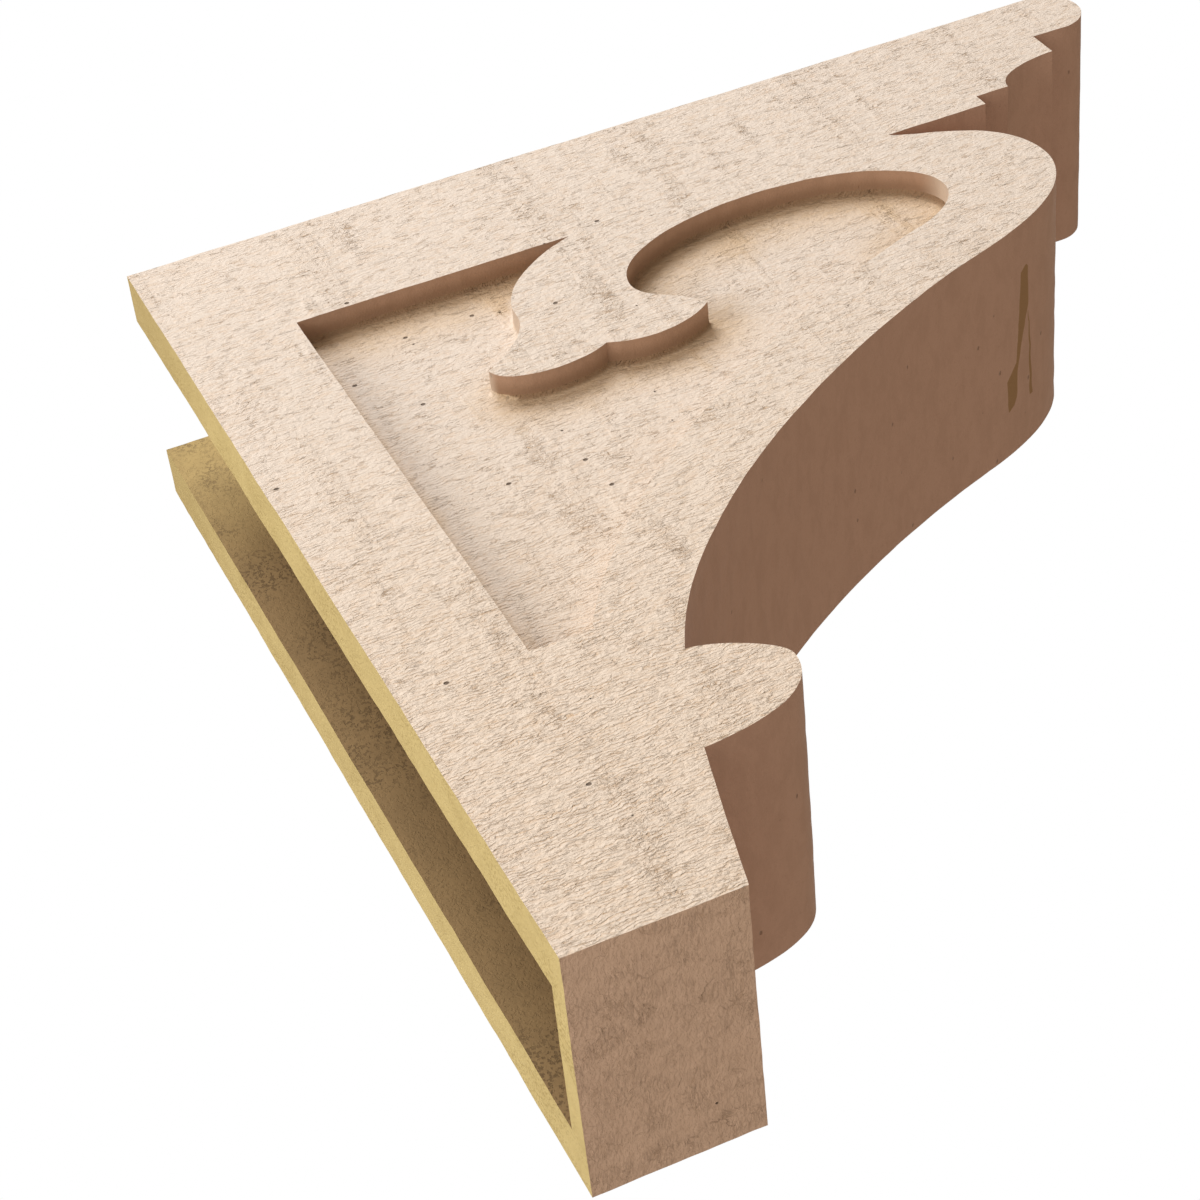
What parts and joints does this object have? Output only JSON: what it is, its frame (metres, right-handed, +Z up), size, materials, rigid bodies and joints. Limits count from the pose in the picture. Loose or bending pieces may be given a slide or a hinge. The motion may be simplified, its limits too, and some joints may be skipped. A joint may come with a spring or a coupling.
{
  "type": "corbel",
  "caption": "Hollow rough-sawn bracket corbel with a moulded cap, a swelling belly, a long concave front curve and sunk panels on both flanks.",
  "frame": {"origin": "on the wall plane, at the middle of the foot wall's back rim: centre of the width, 6.35 mm above the underside", "axes": "+Z up, +X straight out from the wall towards the nose, +Y across the width"},
  "size_m": [0.508, 0.127, 0.5079],
  "materials": {
    "sawn_foam": "dry, matt, rough-sawn texture painted pale wood tan"
  },
  "bodies": {
    "root": {"corbel": "sawn_foam"}
  },
  "joints": []
}
